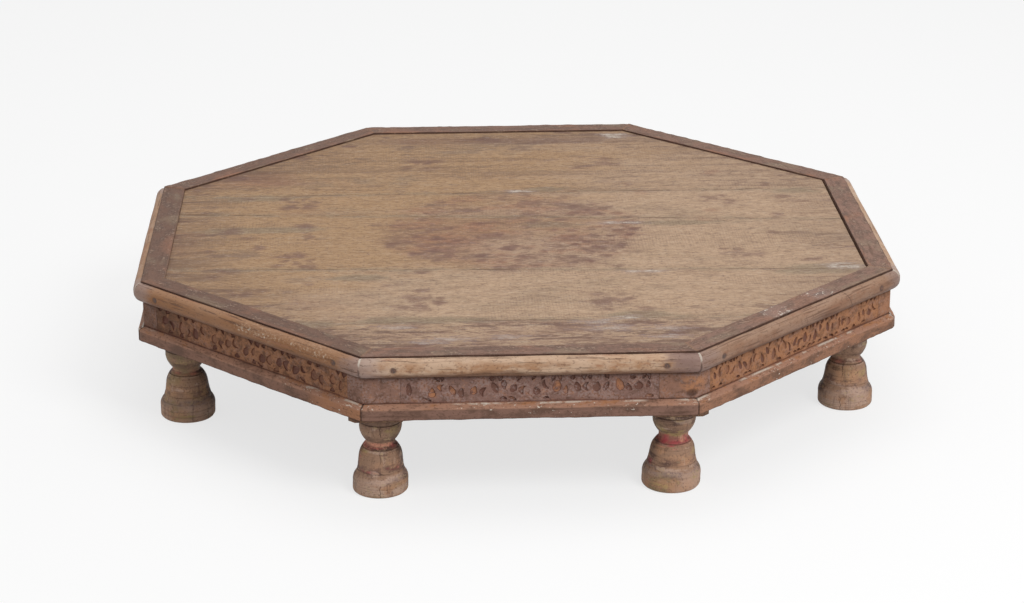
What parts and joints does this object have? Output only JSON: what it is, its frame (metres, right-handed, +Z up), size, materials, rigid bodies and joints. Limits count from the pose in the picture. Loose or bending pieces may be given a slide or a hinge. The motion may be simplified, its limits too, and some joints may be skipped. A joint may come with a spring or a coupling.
{
  "type": "low table",
  "caption": "Low octagonal wooden table on short turned legs: planked top in a mitred border, rounded nosing, carved frieze and moulded base.",
  "frame": {"origin": "middle of the floor under the table", "axes": "+Z up, the front side looks along -Y, +X to the right"},
  "size_m": [0.914, 0.914, 0.178],
  "materials": {
    "plank_wood": "worn, waxed long ago, purple-brown spots",
    "border_wood": "dark, mottled, worn arrises",
    "nosing_wood": "rubbed bare, golden brown",
    "carved_wood": "carved, dark recesses",
    "base_wood": "dark face, rubbed bevel",
    "leg_wood": "turned, old olive and grey patina, traces of red paint",
    "plain_wood": "sawn, unfinished",
    "iron": "rusty hand-cut nails"
  },
  "bodies": {
    "root": {"base_moulding_back": "base_wood", "base_moulding_diagonal_back_left": "base_wood", "base_moulding_diagonal_back_right": "base_wood", "base_moulding_diagonal_front_left": "base_wood", "base_moulding_diagonal_front_right": "base_wood", "base_moulding_front": "base_wood", "base_moulding_left": "base_wood", "base_moulding_right": "base_wood", "batten_left": "plain_wood", "batten_nails": "iron", "batten_right": "plain_wood", "bearer_left": "plain_wood", "bearer_right": "plain_wood", "border_back": "border_wood", "border_diagonal_back_left": "border_wood", "border_diagonal_back_right": "border_wood", "border_diagonal_front_left": "border_wood", "border_diagonal_front_right": "border_wood", "border_front": "border_wood", "border_left": "border_wood", "border_right": "border_wood", "corner_post_back_left": "carved_wood", "corner_post_back_right": "carved_wood", "corner_post_front_left": "carved_wood", "corner_post_front_right": "carved_wood", "corner_post_left_back": "carved_wood", "corner_post_left_front": "carved_wood", "corner_post_right_back": "carved_wood", "corner_post_right_front": "carved_wood", "frame_nails": "iron", "frieze_back": "carved_wood", "frieze_diagonal_back_left": "carved_wood", "frieze_diagonal_back_right": "carved_wood", "frieze_diagonal_front_left": "carved_wood", "frieze_diagonal_front_right": "carved_wood", "frieze_front": "carved_wood", "frieze_left": "carved_wood", "frieze_right": "carved_wood", "leg_back_left": "leg_wood", "leg_back_right": "leg_wood", "leg_front_left": "leg_wood", "leg_front_right": "leg_wood", "leg_left_back": "leg_wood", "leg_left_front": "leg_wood", "leg_right_back": "leg_wood", "leg_right_front": "leg_wood", "nosing_back": "nosing_wood", "nosing_diagonal_back_left": "nosing_wood", "nosing_diagonal_back_right": "nosing_wood", "nosing_diagonal_front_left": "nosing_wood", "nosing_diagonal_front_right": "nosing_wood", "nosing_front": "nosing_wood", "nosing_left": "nosing_wood", "nosing_nails": "iron", "nosing_right": "nosing_wood", "top_plank_back": "plank_wood", "top_plank_front": "plank_wood", "top_plank_middle": "plank_wood", "top_plank_middle_back": "plank_wood", "top_plank_middle_front": "plank_wood"}
  },
  "joints": []
}
